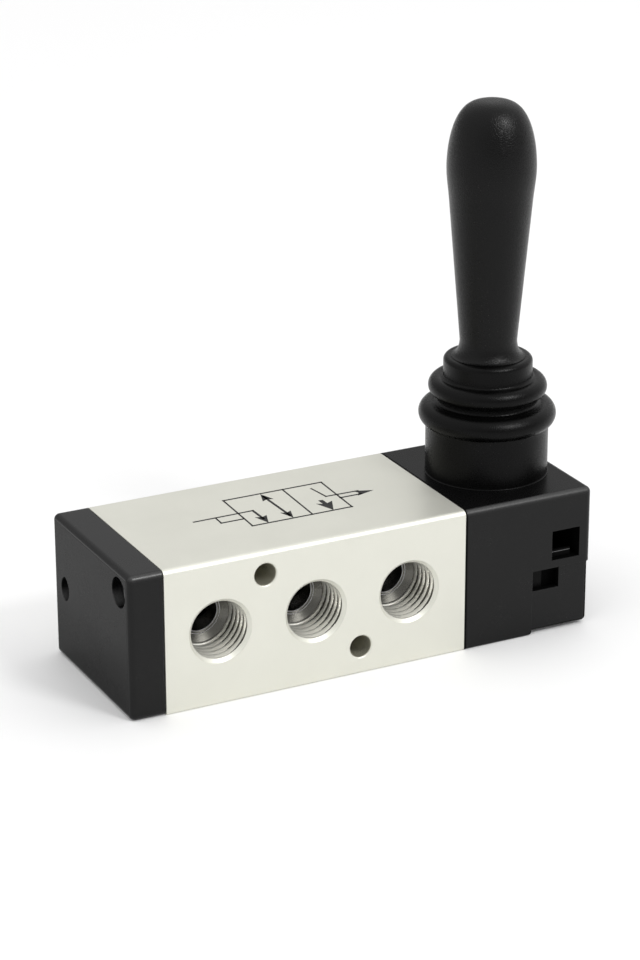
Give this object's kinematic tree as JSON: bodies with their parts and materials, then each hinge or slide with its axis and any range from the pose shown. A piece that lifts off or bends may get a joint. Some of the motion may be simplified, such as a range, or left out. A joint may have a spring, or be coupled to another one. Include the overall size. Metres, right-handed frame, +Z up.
{
  "type": "hand slide valve",
  "caption": "Hand lever spool valve: block body with threaded ports on front and rear, cross mounting holes, plain end cap, lever housing with rubber boot and tilting grip.",
  "frame": {"origin": "centre of the aluminium body's underside", "axes": "+X along the body from the plain end cap to the lever end, -Y is the face with three ports, +Z up along the lever at rest"},
  "size_m": [0.1005, 0.0364, 0.1057],
  "materials": {
    "anodised_body": "satin clear anodised, fine bead-blasted",
    "black_moulding": "satin black glass-filled moulding",
    "grip_plastic": "black with a fine leather-like grain",
    "boot_rubber": "black rubber with a fine grain",
    "gasket_rubber": "smooth black nitrile rubber",
    "black_steel": "black oxide",
    "bright_steel": "ground",
    "spool_metal": "hard anodised and polished",
    "spacer_plastic": "dark acetal",
    "brass_parts": "turned"
  },
  "bodies": {
    "housing": {"valve_body": "anodised_body", "end_cap": "black_moulding", "end_cap_gasket": "gasket_rubber", "end_cap_screws": "black_steel", "lever_housing": "black_moulding", "housing_gasket": "gasket_rubber", "housing_screws": "black_steel", "housing_end_cover": "black_moulding", "bellows_boot": "boot_rubber", "spool_seals": "gasket_rubber", "port_spacers_wide": "spacer_plastic", "port_spacers_narrow": "spacer_plastic", "end_bushes": "brass_parts", "detent_ball": "bright_steel", "detent_spring": "bright_steel", "detent_plug": "black_steel", "pivot_pin": "bright_steel", "pivot_bushes": "brass_parts"},
    "lever": {"lever_rod": "bright_steel", "lever_nut": "bright_steel", "grip_insert": "brass_parts", "handle_grip": "grip_plastic"},
    "spool": {"spool": "spool_metal"}
  },
  "joints": [
    {"name": "lever_tilt", "type": "hinge", "parent": "housing", "child": "lever", "pos_m": [0.0471, 0, 0.0301], "axis": [0, 1, 0], "range_deg": [-10, 10], "deforming": ["bellows_boot"]},
    {"name": "spool_slide", "type": "slide", "parent": "housing", "child": "spool", "axis": [1, 0, 0], "range_m": [-0.00262, 0.00262]}
  ],
  "couplings": [
    {"joint": "spool_slide", "follows": "lever_tilt", "m_per_rad": -0.015}
  ]
}
